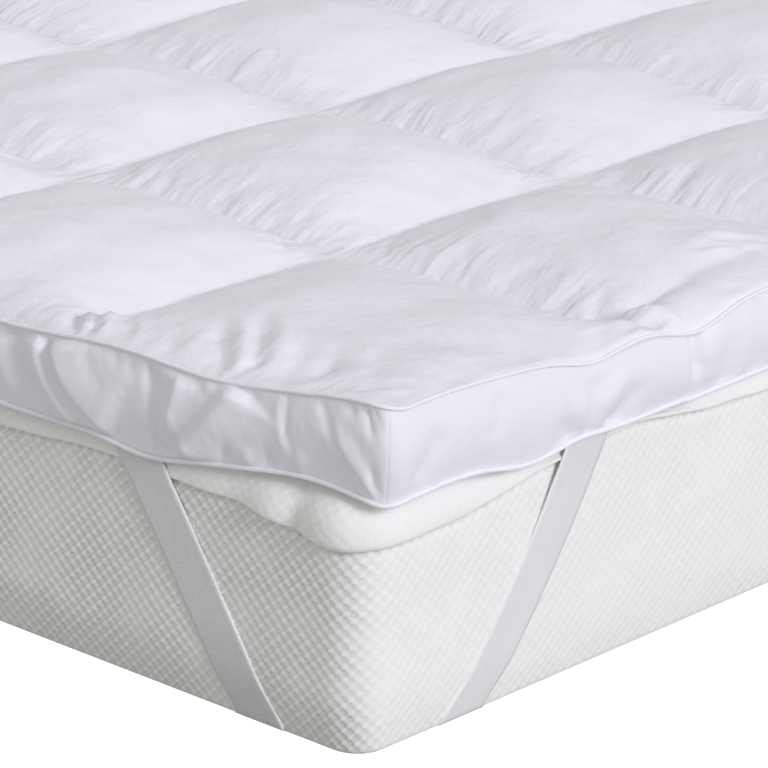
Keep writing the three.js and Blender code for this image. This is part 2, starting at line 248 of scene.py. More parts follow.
def softNoise(x, y, pitch, seed, waves=14):
    # smooth uneven ground, about -1 to 1, with hollows roughly a pitch apart
    dice = np.random.default_rng(seed)
    total = 0
    for _ in range(waves):
        angle = dice.uniform(0, 2 * math.pi)
        length = pitch * dice.uniform(0.7, 1.6)
        across = x * math.cos(angle) + y * math.sin(angle)
        total = total + np.sin(2 * math.pi * across / length + dice.uniform(0, 7))
    return total / math.sqrt(waves * 2)


def foldField(x, y, folds):
    # ridges and hollows along lines: each fold is its points, half width, rise, and fade at its two ends;
    # a pair of widths is for the left and the right of its line
    total = np.zeros_like(x)
    for points, width, rise, fadeIn, fadeOut in folds:
        left, right = width if isinstance(width, tuple) else (width, width)
        near = np.full_like(x, 1e9)
        onLeft = np.zeros(x.shape, bool)
        along = np.zeros_like(x)
        length = sum(math.dist(a, b) for a, b in zip(points, points[1:]))
        run = 0
        for (ax, ay), (bx, by) in zip(points, points[1:]):
            step = math.dist((ax, ay), (bx, by))
            share = np.clip(((x - ax) * (bx - ax) + (y - ay) * (by - ay)) / step**2, 0, 1)
            gap = np.hypot(x - ax - share * (bx - ax), y - ay - share * (by - ay))
            closer = gap < near
            onLeft = np.where(closer, (bx - ax) * (y - ay) > (by - ay) * (x - ax), onLeft)
            near = np.where(closer, gap, near)
            along = np.where(closer, (run + share * step) / length, along)
            run += step
        ends = smoothStep(along / max(fadeIn, 1e-3)) * smoothStep((1 - along) / max(fadeOut, 1e-3))
        total += rise * np.exp(-((near / np.where(onLeft, left, right)) ** 1.5)) * ends
    return total


def blurred(grid, times):
    # softens a grid of heights along both its directions
    for _ in range(times):
        for axis in (0, 1):
            pad = [(1, 1) if a == axis else (0, 0) for a in (0, 1)]
            wide = np.pad(grid, pad, mode="edge")
            before = np.take(wide, range(0, grid.shape[axis]), axis)
            after = np.take(wide, range(2, grid.shape[axis] + 2), axis)
            grid = 0.5 * grid + 0.25 * (before + after)
    return grid


def meshPiece(name, points, faces, material=None):
    # points in millimetres become a smooth shaded object at the origin
    mesh = bpy.data.meshes.new(name)
    mesh.from_pydata((points * mm).tolist(), [], faces)
    mesh.update()
    piece = bpy.data.objects.new(name, mesh)
    bpy.context.scene.collection.objects.link(piece)
    if material:
        mesh.materials.append(material)
    mesh.polygons.foreach_set("use_smooth", [True] * len(mesh.polygons))
    return piece


def gridFaces(index):
    # quads between the points of a grid, from the grid of their numbers
    corners = [index[:-1, :-1], index[:-1, 1:], index[1:, 1:], index[1:, :-1]]
    return np.stack(corners, -1).reshape(-1, 4).tolist()


def ringFaces(first, second, count):
    # quads between two rings of points, from the number of each ring's first point
    return [
        (first + k, second + k, second + (k + 1) % count, first + (k + 1) % count)
        for k in range(count)
    ]


def closeShell(piece, loops):
    # one flat face on each loop of a shell's points, and every face turned outwards
    body = bmesh.new()
    body.from_mesh(piece.data)
    body.verts.ensure_lookup_table()
    for loop in loops:
        body.faces.new([body.verts[k] for k in loop])
    bmesh.ops.recalc_face_normals(body, faces=body.faces[:])
    body.to_mesh(piece.data)
    body.free()
    piece.data.polygons.foreach_set("use_smooth", [True] * len(piece.data.polygons))


def applyModifier(piece, name):
    bpy.context.view_layer.objects.active = piece
    piece.select_set(True)
    bpy.ops.object.modifier_apply(modifier=name)
    piece.select_set(False)


def runAlong(loop):
    # distance round a closed loop of points, at the end of each stretch
    return np.cumsum(np.linalg.norm(np.roll(loop, -1, 0) - loop, axis=1))


def insideEdges(plan, x, y):
    # how far a place lies inside the long sides, and inside the ends
    return plan["halfWidth"] - np.abs(x), plan["halfLength"] - np.abs(y)


# in millimetres, as are the plans of the other pieces; those of the finishes are in metres
topperPlan = {
    "halfWidth": 685,
    "halfLength": 957,
    "cornerRadius": 18,
    "drawDepth": 14,  # each end is drawn in beside its corners
    "drawReach": 130,
    "drawFrom": 200,
    "bandHeight": 59,
    "bandBulge": 5,
    "baseInset": 3,
    "baseDroop": 5,
    "undersideInset": 26,
    "undersideRings": ((0.45, 0.35), (1, 0)),  # share of the way in, and of the droop
    "waveEnd": 60,
    "baseHeight": 184.3,
    "crown": 76,
    "seamHeight": 41,
    "columns": 5,
    "rows": 7,
    "boxWidth": 258,
    "boxLength": 264,
    "seamEnd": 62,
    "seamFade": 50,
    "edgeRoll": 129,
    "edgeCurve": 0.6,
    "boxiness": 2.0,
    "roundness": 0.82,
    "crownSpread": 1.5,
    "cornerDrop": 3,
    "bandRows": 24,
    "bandHeld": (0.12, 0.1),  # shares of its height that the two seams hold flat
    "stepsX": (11, 8, 4.5, 3.6, 2.6),  # spacing of the points in each column of boxes, from the left
    "stepsY": (5.6, 4.4, 9, 12, 13, 13, 13.5),  # and in each row, from the front
    "loft": ((1.5, 95, 1), (0.9, 42, 2)),  # rise, pitch and seed of the filling's hollows
    "loftFromSeam": 45,
    "loftFromEdge": 30,
    "topFoldRise": 1.35,
    "bandFoldRise": 1.3,
    "sideFoldRise": 1.6,  # the long sides' share of it
    "bandFoldHeight": 62,  # the band's height where its folds were measured
    "foldReach": 300,  # past this distance from a corner those folds fade out
    "foldFade": 60,
    "foldStart": 14,  # and closer to it than this
    # rise, change down the band, pitch and seed of the soft folds that take their place
    "looseFolds": ((1.8, 0.35, 48, 8), (1.2, 0.2, 24, 9)),
    "stitchReach": 7,  # folds and wrinkles die away this near to a line of stitches
    # folds that fan out from the end of each seam to the piping
    "fans": {
        "fromEnd": 58,
        "fromSide": 50,
        "tilts": (-0.75, -0.3, 0.25, 0.8),
        "length": (38, 50),
        "width": (5, 8),
        "depth": (1.2, 2.6),
    },
    # short soft folds across the roll of the top panel, all round the piping
    "gathers": {
        "fromCorner": 60,
        "fromPiping": 6,
        "spacing": (18, 52),
        "length": (30, 62),
        "width": (6, 10),
        "depth": (0.5, 2.0),
        "quiet": 0.3,  # share of the depth beside the top folds
    },
}
# place from the corner, drop and reach of each dip in the edge seams
upperDips = {
    "end": [(0, -10, 80), (150, 3.5, 50), (335, 9, 85)],
    "side": [(60, -8, 95), (222, 8, 36), (338, 12, 40)],
}
lowerDips = {
    "end": [(70, -9, 60), (205, 8, 42), (340, 6, 110)],
    "side": [(70, -6, 80), (156, 5, 38), (214, -2, 24), (420, -3, 90)],
}
# folds of the side band near a corner, as distance from the corner and share of the way down
endBandFolds = [
    ([(352, 0.1), (338, 0.5), (322, 0.9)], (8, 16), 2.5, 0.3, 0.3),
    ([(333, 0.02), (326, 0.3), (314, 0.6), (296, 0.92)], (9, 14), -4.0, 0.1, 0.1),
    ([(303, 0.04), (299, 0.31), (292, 0.52), (285, 0.69), (275, 0.84), (258, 0.96)], (3.6, 24), 5, 0.05, 0.1),
    ([(297, 0.04), (293, 0.29), (286, 0.5), (277, 0.65), (264, 0.8), (249, 0.92)], (2.6, 3), -2.4, 0.05, 0.1),
    ([(288, 0.04), (283, 0.27), (275, 0.47), (265, 0.63), (252, 0.77), (234, 0.93)], (32, 4), 6.4, 0.1, 0.15),
    ([(262, 0.04), (250, 0.3), (234, 0.55)], 6, -1.0, 0.2, 0.5),
    ([(232, 0.03), (228, 0.24)], 5, -1.4, 0.1, 0.7),
    ([(218, 0.03), (217, 0.3)], 4, -1.4, 0.1, 0.7),
    ([(203, 0.03), (200, 0.33), (198, 0.61), (196, 0.95)], (13, 2.4), -3.2, 0.1, 0.05),
    ([(195, 0.02), (195, 0.28)], 2.6, 1.6, 0.1, 0.7),
    ([(188, 0.02), (191, 0.3)], 2.6, 1.6, 0.1, 0.7),
    ([(181, 0.02), (186, 0.24)], 2.6, 1.4, 0.1, 0.7),
    ([(171, 0.05), (176, 0.3), (181, 0.58), (188, 0.9)], (9, 6), 4.2, 0.1, 0.1),
    ([(157, 0.02), (156, 0.2)], 4, -2, 0.1, 0.7),
    ([(135, 0.02), (141, 0.17), (150, 0.36), (162, 0.56), (174, 0.76), (187, 0.92)], (4, 7), -3.0, 0.05, 0.2),
    ([(124, 0.02), (130, 0.17), (139, 0.36), (151, 0.56), (163, 0.76), (176, 0.92)], (20, 17), 8, 0.05, 0.2),
    ([(168, 0.98), (160, 0.66)], (7, 4), 2.2, 0.05, 0.7),
    ([(138, 0.97), (130, 0.6)], 4, -2.4, 0.05, 0.7),
    ([(116, 0.97), (114, 0.66)], (7, 4), 2, 0.05, 0.7),
    ([(100, 0.97), (101, 0.6)], 4, -2.2, 0.05, 0.7),
    ([(111, 0.02), (114, 0.3)], 4, -1.8, 0.05, 0.7),
    ([(88, 0.02), (89, 0.28), (85, 0.58), (80, 0.86)], (2, 5), 1.4, 0.05, 0.3),
    ([(84, 0.03), (84, 0.39), (80, 0.78)], 2.8, -1.4, 0.05, 0.4),
    ([(74, 0.97), (73, 0.62)], (3, 5), 1.8, 0.05, 0.5),
    ([(62, 0.03), (55, 0.27), (46, 0.5), (30, 0.8)], (4, 9), 0.8, 0.1, 0.4),
    ([(57, 0.05), (49, 0.3), (38, 0.57)], 4, -1.4, 0.1, 0.5),
    ([(46, 0.2), (33, 0.51), (20, 0.76), (4, 0.96)], (2.6, 7), 1.8, 0.3, 0.05),
    ([(36, 0.3), (22, 0.62), (6, 0.9)], (3, 6), 1.4, 0.3, 0.1),
    ([(12, 0.25), (12, 1.0)], (12, 34), -1.2, 0.4, 0.01),
    ([(21, 0.03), (15, 0.19), (7, 0.36)], 3.5, -3, 0.1, 0.5),
    ([(12, 0.03), (8, 0.14), (2, 0.24)], 3, -2.4, 0.1, 0.5),
    ([(33, 0.02), (27, 0.2)], 4, -2, 0.1, 0.6),
    ([(8, 0.55), (10, 0.78), (2, 0.97)], 3.5, -2, 0.3, 0.1),
]
sideBandFolds = [
    ([(334, 0.02), (336, 0.33), (339, 0.75)], 5, -4.5, 0.05, 0.4),
    ([(345, 0.05), (346, 0.33), (347, 0.6)], 7, 1.8, 0.1, 0.5),
    ([(385, 0.35), (360, 0.78)], 11, -2.5, 0.3, 0.3),
    ([(51, 0.3), (40, 0.59), (28, 0.85)], 9, -1.8, 0.3, 0.2),
    ([(228, 0.1), (222, 0.5), (221, 0.97)], 10, -1.8, 0.3, 0.05),
    ([(205, 0.3), (214, 0.97)], 8, 1.8, 0.5, 0.05),
    ([(255, 0.15), (236, 0.6), (226, 0.97)], 9, 1.6, 0.4, 0.1),
    ([(186, 0.55), (206, 0.97)], 8, -1.8, 0.4, 0.1),
    ([(280, 0.45), (240, 0.97)], 9, -1.8, 0.4, 0.1),
    ([(120, 0.1), (112, 0.7)], 9, -1.2, 0.3, 0.4),
]
# folds of the top panel by the near right corner, in plan from the middle of the topper
topFolds = [
    ([(378, -915), (394, -936), (413, -956)], 4, -3.8, 0.2, 0.05),
    ([(385, -908), (402, -928), (418, -948)], 4, 2.8, 0.2, 0.05),
    ([(389, -912), (406, -928), (426, -950)], 4, -3.8, 0.2, 0.05),
    ([(403, -908), (416, -928), (436, -952)], 4.5, 2.2, 0.2, 0.05),
    ([(416, -908), (436, -926), (457, -950)], 3.8, -2.2, 0.3, 0.2),
    ([(427, -897), (450, -918), (475, -945)], 6, -1.6, 0.3, 0.1),
    ([(478, -887), (510, -917), (543, -950)], 5, -3.0, 0.4, 0.05),
    ([(487, -874), (519, -906), (551, -946)], 4.5, 2.4, 0.4, 0.05),
    ([(496, -862), (526, -894), (560, -940)], 4.5, -3.2, 0.4, 0.05),
    ([(508, -858), (538, -886), (572, -932)], 5, 1.8, 0.4, 0.1),
    ([(550, -875), (571, -907), (588, -944)], 9, -2, 0.4, 0.1),
    ([(579, -875), (598, -914), (609, -945)], 9, -1.8, 0.4, 0.1),
    ([(603, -865), (628, -898), (650, -938)], 9, -1.4, 0.4, 0.1),
    ([(633, -662), (640, -640), (640, -605), (638, -570)], 7, -3, 0.05, 0.7),
    ([(633, -662), (640, -640), (640, -605), (638, -570), (640, -520), (645, -470)], 13, -3.5, 0.1, 0.4),
    ([(626, -545), (633, -510), (640, -475)], 4.5, 1.8, 0.3, 0.3),
    ([(614, -540), (620, -505), (627, -465)], 4, -0.9, 0.3, 0.3),
    ([(628, -664), (612, -640), (606, -618)], 6, -2.4, 0.1, 0.5),
    ([(620, -668), (606, -648), (598, -632)], 5, 1.6, 0.2, 0.5),
    ([(640, -664), (655, -645), (682, -632)], 6, 3, 0.3, 0.1),
    ([(638, -672), (660, -668), (683, -655)], 8, -3, 0.2, 0.1),
    ([(500, -447), (551, -432), (604, -427)], 4.5, -1.4, 0.3, 0.2),
    ([(514, -459), (566, -450), (616, -444)], 4.5, -1.6, 0.3, 0.15),
    ([(530, -476), (579, -467), (626, -460)], 4.5, -1.8, 0.3, 0.15),
    ([(548, -493), (590, -485), (624, -479)], 4.5, -1.3, 0.3, 0.3),
    ([(600, -522), (616, -492), (634, -464)], 5, 2.4, 0.3, 0.3),
    ([(612, -548), (626, -520), (645, -484)], 5, -2.0, 0.3, 0.3),
    ([(630, -800), (680, -836)], 8, -1.0, 0.4, 0.2),
    ([(642, -770), (680, -805)], 8, -1.2, 0.4, 0.2),
    ([(621, -725), (675, -760)], 8, -1.3, 0.4, 0.2),
]


def seamLines(boxes, pitch):
    return [(k - (boxes - 2) / 2) * pitch for k in range(boxes - 1)]


seamsX = seamLines(topperPlan["columns"], topperPlan["boxWidth"])
seamsY = seamLines(topperPlan["rows"], topperPlan["boxLength"])


def edgeWave(x, y):
    # a slow uneven wave along each edge
    along = np.where(np.abs(x) > topperPlan["halfWidth"] - topperPlan["waveEnd"], y, x)
    return 1.6 * np.sin(along / 71 + x / 500) + 1.2 * np.sin(along / 37 + y / 300)


def dipAt(dips, x, y):
    # how far a seam hangs below its mean height
    toSide, toEnd = insideEdges(topperPlan, x, y)
    endDip, sideDip = humps(toSide, dips["end"]), humps(toEnd, dips["side"])
    onEnd = smoothStep((toSide - toEnd) / 40 + 0.5)
    return sideDip + (endDip - sideDip) * onEnd


def upperSeam(x, y):
    return topperPlan["bandHeight"] - dipAt(upperDips, x, y) + 0.6 * edgeWave(x, y)


def lowerSeam(x, y):
    return -topperPlan["baseDroop"] - dipAt(lowerDips, x, y) + 0.5 * edgeWave(y, x)


def fullness(position, seams):
    # which box a position lies in, whether it is an outer one, and how far up its arc
    marks = np.array([-1e6, *seams, 1e6])
    box = np.clip(np.searchsorted(marks, position), 1, len(marks) - 1)
    fromSeam = np.minimum(position - marks[box - 1], marks[box] - position)
    share = np.clip(fromSeam / ((seams[1] - seams[0]) / 2), 0, 1)
    arc = (1 - (1 - share) ** topperPlan["boxiness"]) ** topperPlan["roundness"]
    return box, (box == 1) | (box == len(marks) - 1), arc


def scatter(i, j):
    # an uneven value from -1 to 1 for each box
    wave = np.sin(i * 12.9898 + j * 78.233) * 43758.5453
    return 2 * (wave - np.floor(wave)) - 1


def quiltHeight(x, y):
    # the boxes' crowns between their seams, rolled down to the piping at the edge
    plan = topperPlan
    toSide, toEnd = insideEdges(plan, x, y)
    boxX, outerX, arcX = fullness(x, seamsX)
    boxY, outerY, arcY = fullness(y, seamsY)
    holdX = smoothStep((toEnd - plan["seamEnd"] + plan["seamFade"]) / plan["seamFade"])
    holdY = smoothStep((toSide - plan["seamEnd"] + plan["seamFade"]) / plan["seamFade"])
    filled = (1 - holdX * (1 - arcX)) * (1 - holdY * (1 - arcY))
    crown = plan["crown"] + plan["crownSpread"] * scatter(boxX, boxY)
    crown = crown - plan["cornerDrop"] * (outerX & outerY)
    inside = plan["seamHeight"] + (crown - plan["seamHeight"]) * filled
    seam = upperSeam(x, y)
    rise = 1
    for distance in (toSide, toEnd):
        rise = rise * (1 - (1 - np.clip(distance / plan["edgeRoll"], 0, 1)) ** 2) ** plan["edgeCurve"]
    return seam + (inside - seam) * rise


def planPoint(x, y):
    # rounded at the corners, and drawn in at the ends
    plan = topperPlan
    radius = plan["cornerRadius"]
    a = (np.abs(x) - plan["halfWidth"] + radius) / radius
    b = (np.abs(y) - plan["halfLength"] + radius) / radius
    inCorner = (a > 0) & (b > 0)
    a, b = np.clip(a, 0, 1), np.clip(b, 0, 1)
    roundX = np.sign(x) * (plan["halfWidth"] - radius + radius * a * np.sqrt(1 - b * b / 2))
    roundY = np.sign(y) * (plan["halfLength"] - radius + radius * b * np.sqrt(1 - a * a / 2))
    nearEnd = smoothStep((np.abs(y) - plan["halfLength"] + plan["drawFrom"]) / plan["drawFrom"])
    drawn = plan["drawDepth"] * nearEnd * hump(plan["halfWidth"] - np.abs(x), plan["drawReach"])
    return np.where(inCorner, roundX, x), np.where(inCorner, roundY, y) - np.sign(y) * drawn


def gridLines(half, seams, steps):
    # places of a grid's points, with one on every seam
    marks = [-half, *seams, half]
    lines = [marks[0]]
    for low, high, step in zip(marks, marks[1:], steps):
        count = round((high - low) / step)
        lines += [low + (high - low) * (k + 1) / count for k in range(count)]
    return np.array(lines)


def endFans():
    # a fan at every seam's end, but for the two by the near corner, which are in topFolds
    dice = np.random.default_rng(11)
    folds = []
    endY = topperPlan["halfLength"] - topperPlan["fans"]["fromEnd"]
    sideX = topperPlan["halfWidth"] - topperPlan["fans"]["fromSide"]
    for side in (-1, 1):
        for seam in seamsX:
            if not (side < 0 and seam == seamsX[-1]):
                folds += fan(dice, (seam, side * endY), (0, side))
        for seam in seamsY:
            if not (side > 0 and seam == seamsY[0]):
                folds += fan(dice, (side * sideX, seam), (side, 0))
    return folds


def fan(dice, start, out):
    plan = topperPlan["fans"]
    folds = []
    for tilt in plan["tilts"]:
        tilt += dice.uniform(-0.12, 0.12)
        reach = dice.uniform(*plan["length"])
        end = (
            start[0] + reach * (out[0] - tilt * out[1]),
            start[1] + reach * (out[1] + tilt * out[0]),
        )
        width, depth = dice.uniform(*plan["width"]), dice.uniform(*plan["depth"])
        folds.append(([start, end], width, -depth, 0.3, 0.1))
    return folds


def edgeGathers():
    dice = np.random.default_rng(5)
    plan = topperPlan["gathers"]
    folds = []
    halves = topperPlan["halfWidth"], topperPlan["halfLength"]
    for (half, other), onEnd in ((halves, True), (halves[::-1], False)):
        last = half - plan["fromCorner"]
        stop = other - plan["fromPiping"]
        for side in (-1, 1):
            place = -last
            while place < last:
                reach = dice.uniform(*plan["length"])
                lean = dice.uniform(-10, 10)
                inner, outer = (place + lean, side * (stop - reach)), (place, side * stop)
                if not onEnd:
                    inner, outer = inner[::-1], outer[::-1]
                busy = place > 300 if onEnd and side < 0 else (not onEnd and side > 0 and place < -600)
                rise = -dice.uniform(*plan["depth"]) * (plan["quiet"] if busy else 1)
                folds.append(([inner, outer], dice.uniform(*plan["width"]), rise, 0.5, 0.15))
                place += dice.uniform(*plan["spacing"])
    return folds


class TopperShape:
    # the grid of the top panel, then the rings of the side band and the start of the base
    def __init__(self):
        plan = topperPlan
        gridX = gridLines(plan["halfWidth"], seamsX, plan["stepsX"])
        gridY = gridLines(plan["halfLength"], seamsY, plan["stepsY"])
        self.x, self.y = np.meshgrid(gridX, gridY)
        self.topCount = self.x.size
        index = np.arange(self.topCount).reshape(self.x.shape)
        sides = [index[0, :-1], index[:-1, -1], index[-1, :0:-1], index[:0:-1, 0]]
        self.border = np.concatenate(sides)
        self.ring = len(self.border)
        self.faces = gridFaces(index)
        self.edgeX, self.edgeY = self.x.ravel()[self.border], self.y.ravel()[self.border]

    def top(self):
        plan, x, y = topperPlan, self.x, self.y
        toEdge = np.minimum(*insideEdges(plan, x, y))
        folds = foldField(x, y, topFolds + endFans() + edgeGathers())
        height = quiltHeight(x, y) + plan["topFoldRise"] * folds * smoothStep(toEdge / plan["stitchReach"])
        hollows = sum(rise * softNoise(x, y, pitch, seed) for rise, pitch, seed in plan["loft"])
        height = height + smoothStep(toEdge / plan["loftFromEdge"]) * self.loft() * hollows
        fine = smoothStep((x - swatchPlan["fineFrom"]) / swatchPlan["fineReach"])
        height = height + fine * layOver(puffedSwatch(swatchPlan), x, y)
        planX, planY = planPoint(x, y)
        return np.stack([planX, planY, plan["baseHeight"] + height], -1)

    def loft(self):
        # 0 on a seam, 1 well inside a box
        nearX = np.min(np.abs(self.x[..., None] - seamsX), -1)
        nearY = np.min(np.abs(self.y[..., None] - seamsY), -1)
        return smoothStep(np.minimum(nearX, nearY) / topperPlan["loftFromSeam"])

    def outward(self, edge):
        # the direction away from the topper at each point of its edge
        run = np.roll(edge, -1, 0) - np.roll(edge, 1, 0)
        run = run / np.linalg.norm(run, axis=1, keepdims=True)
        return np.stack([run[:, 1], -run[:, 0]], -1)

    def band(self, top):
        # rings from just under the upper seam down to the lower one
        plan = topperPlan
        edge = top.reshape(-1, 3)[self.border][:, :2]
        u, v = self.edgeX, self.edgeY
        out, around = self.outward(edge), runAlong(edge)
        upper, lower = upperSeam(u, v), lowerSeam(u, v)
        toSide, toEnd = insideEdges(plan, u, v)
        onEnd = toEnd < toSide
        fromCorner = np.where(onEnd, toSide, toEnd)
        near = hump(np.maximum(fromCorner - plan["foldReach"], 0), plan["foldFade"])
        near = near * smoothStep(fromCorner / plan["foldStart"])
        endFolds, sideFolds = measuredFolds(endBandFolds), measuredFolds(sideBandFolds)
        heldAbove, heldBelow = plan["bandHeld"]
        rings = []
        for row in range(1, plan["bandRows"] + 1):
            down = row / plan["bandRows"]
            tall = np.full_like(u, down * plan["bandFoldHeight"])
            endFold = foldField(toSide, tall, endFolds)
            sideFold = plan["sideFoldRise"] * foldField(toEnd, tall, sideFolds)
            loose = sum(
                rise * softNoise(around, tall * slant, pitch, seed)
                for rise, slant, pitch, seed in plan["looseFolds"]
            )
            fold = np.where(onEnd, endFold, sideFold) * near + (1 - near) * loose
            free = smoothStep(down / heldAbove) * smoothStep((1 - down) / heldBelow)
            bulge = plan["bandBulge"] * math.sin(math.pi * down) * (1 + 0.1 * edgeWave(v, u))
            push = bulge - plan["baseInset"] * down + plan["bandFoldRise"] * fold * free
            z = plan["baseHeight"] + upper + (lower - upper) * down
            rings.append(np.column_stack([edge + out * push[:, None], z]))
        return np.array(rings)

    def underside(self):
        # two rings that lead from the lower seam in to the flat base
        plan = topperPlan
        edge = np.column_stack(planPoint(self.edgeX, self.edgeY))
        out = self.outward(edge)
        lower = lowerSeam(self.edgeX, self.edgeY)
        rings = []
        for share, droop in plan["undersideRings"]:
            place = edge - out * plan["undersideInset"] * share
            rings.append(np.column_stack([place, plan["baseHeight"] + droop * lower]))
        return np.array(rings)


def measuredFolds(folds):
    # the band's folds with their shares of the way down turned into millimetres
    tall = topperPlan["bandFoldHeight"]
    return [([(along, down * tall) for along, down in points], *rest) for points, *rest in folds]


swatchPlan = {
    "step": 3.7,
    "frames": 18,
    "quality": 5,
    "pressure": 1.0,
    "mass": 0.15,
    "middleGrowth": 0.012,  # spare fabric in the middle of a box
    "seamGrowth": 0.042,  # and along the seams that run across the bed
    "seamBelt": 48,
    "growthLevels": 20,
    "stiffness": 15,
    "bending": 0.02,
    "unevenness": 0.25,
    "smoothing": 45,
    "fineFrom": -200,  # left of this the topper's points are too far apart to carry wrinkles
    "fineReach": 150,
}


def simulate(piece, frames):
    # runs the cloth to its last frame and keeps the shape that it has there
    for step in range(1, frames + 1):
        bpy.context.scene.frame_set(step)
    applyModifier(piece, "puff")
    bpy.context.scene.frame_set(1)


def puffedSwatch(plan):
    # cloth over two quilt boxes buckles between its stitched lines as the filling pushes it out
    wide, long = topperPlan["boxWidth"], topperPlan["boxLength"]
    across = np.linspace(-wide / 2, wide * 1.5, 2 * round(wide / plan["step"]) + 1)
    along = np.linspace(-long / 2, long / 2, round(long / plan["step"]) + 1)
    x, y = np.meshgrid(across, along)
    points = np.stack([x, y, quiltHeight(x, y)], -1)
    points[..., 2] += np.random.default_rng(3).normal(0, plan["unevenness"], x.shape)
    index = np.arange(x.size).reshape(x.shape)
    piece = meshPiece("swatch", points.reshape(-1, 3), gridFaces(index))
    offX = np.min(np.abs(x[..., None] - (-wide / 2, wide / 2, wide * 1.5)), -1)
    offY = long / 2 - np.abs(y)
    stitched = piece.vertex_groups.new(name="stitched")
    stitched.add(index[(offX < 0.01) | (offY < 0.01)].tolist(), 1.0, "REPLACE")
    least, most = plan["middleGrowth"], plan["seamGrowth"]
    growth = least + (most - least) * hump(offY, plan["seamBelt"]) * (1 - 0.5 * hump(offX, 25))
    taut = piece.vertex_groups.new(name="taut")  # full weight means no spare fabric
    levels = np.round((1 - growth / most) * plan["growthLevels"])
    for level in range(1, plan["growthLevels"] + 1):
        taut.add(index[levels == level].tolist(), level / plan["growthLevels"], "REPLACE")
    cloth = piece.modifiers.new("puff", "CLOTH")
    cloth.collision_settings.use_collision = False
    fabric = cloth.settings
    fabric.quality = plan["quality"]
    fabric.mass = plan["mass"]
    fabric.tension_stiffness = fabric.compression_stiffness = plan["stiffness"]
    fabric.shear_stiffness = plan["stiffness"] / 3
    fabric.bending_stiffness = plan["bending"]
    fabric.vertex_group_mass = "stitched"
    fabric.vertex_group_shrink = "taut"
    fabric.shrink_min = -most
    fabric.shrink_max = 0
    fabric.use_pressure = True
    fabric.uniform_pressure_force = plan["pressure"]
    fabric.effector_weights.gravity = 0
    cloth.point_cache.frame_start = 1
    cloth.point_cache.frame_end = plan["frames"]
    simulate(piece, plan["frames"])
    moved = np.empty(x.size * 3)
    piece.data.vertices.foreach_get("co", moved)
    bpy.data.objects.remove(piece)
    lift = (moved.reshape(points.shape) / mm - points)[..., 2]
    lift -= blurred(lift, plan["smoothing"])
    print("swatch puffed:", x.size, "points, wrinkles up to", round(float(np.abs(lift).max()), 1), "mm")
    return lift * smoothStep(np.minimum(offX, offY) / topperPlan["stitchReach"])


def layOver(lift, x, y):
    # the swatch's wrinkles over every box, turned about from one to the next
    total = np.zeros_like(x)
    half = lift.shape[1] // 2
    marksX = [-topperPlan["halfWidth"], *seamsX, topperPlan["halfWidth"]]
    marksY = [-topperPlan["halfLength"], *seamsY, topperPlan["halfLength"]]
    dice = np.random.default_rng(21)
    for left, right in zip(marksX, marksX[1:]):
        for front, back in zip(marksY, marksY[1:]):
            inside = (x >= left) & (x <= right) & (y >= front) & (y <= back)
            across = (x[inside] - left) / (right - left)
            along = (y[inside] - front) / (back - front)
            which, turnX, turnY = dice.integers(0, 2, 3)
            across = 1 - across if turnX else across
            along = 1 - along if turnY else along
            tile = lift[:, : half + 1] if which else lift[:, half:]
            total[inside] = readGrid(tile, across, along)
    return total


def readGrid(grid, across, along):
    # the height of a grid between its points, at shares of its width and length
    rows, columns = grid.shape
    column, row = across * (columns - 1), along * (rows - 1)
    c, r = np.minimum(column.astype(int), columns - 2), np.minimum(row.astype(int), rows - 2)
    fc, fr = column - c, row - r
    return (
        grid[r, c] * (1 - fc) * (1 - fr)
        + grid[r, c + 1] * fc * (1 - fr)
        + grid[r + 1, c] * (1 - fc) * fr
        + grid[r + 1, c + 1] * fc * fr
    )


def makeTopper(material):
    # one filled body: top panel, side band and base panel
    plan = topperPlan
    shape = TopperShape()
    top = shape.top()
    band = shape.band(top)
    under = shape.underside()
    points = np.concatenate([part.reshape(-1, 3) for part in (top, band, under)])
    faces = list(shape.faces)
    count, first = shape.ring, shape.topCount
    border = shape.border.tolist()
    for k in range(count):
        after = (k + 1) % count
        faces.append((border[k], first + k, first + after, border[after]))
    rings = plan["bandRows"] + len(under)
    for row in range(rings - 1):
        faces += ringFaces(first + row * count, first + (row + 1) * count, count)
    piece = meshPiece("topperQuilt", points, faces, material)
    # how far down the band each point lies, for the material
    shares = np.minimum(np.arange(1, rings + 1) / plan["bandRows"], 1)
    down = np.concatenate([np.zeros(first), np.repeat(shares, count)])
    piece.data.attributes.new("down", "FLOAT", "POINT").data.foreach_set("value", down)
    last = first + (rings - 1) * count
    closeShell(piece, [range(last + count - 1, last - 1, -1)])  # the base panel
    return piece, shape, points


cottonPlan = {
    "light": (0.922, 0.908, 0.952),
    "deep": (0.882, 0.868, 0.922),
    "crinkleDepth": 0.0024,
    "seamAt": 0.132,  # the seams that run across lie every two of these
    "puckerReach": 0.085,
    "puckerDepth": 0.0018,
    "puckerScale": (66, 9, 18),  # how fine they are along a seam, away from it and upwards
    "sway": 0.022,
    "sideFrom": (0.672, 0.682),  # the band's pattern turns the corner between these
    "gatherDepth": 0.0003,
    "creaseDepth": 0.0001,
    "cornerSeam": (0.6797, 0.9377),  # its line runs through this point, at 45 degrees
    "cornerSeamDepth": 0.0002,
    "weavePitch": 0.0011,
    "weaveDepth": 0.000014,
}


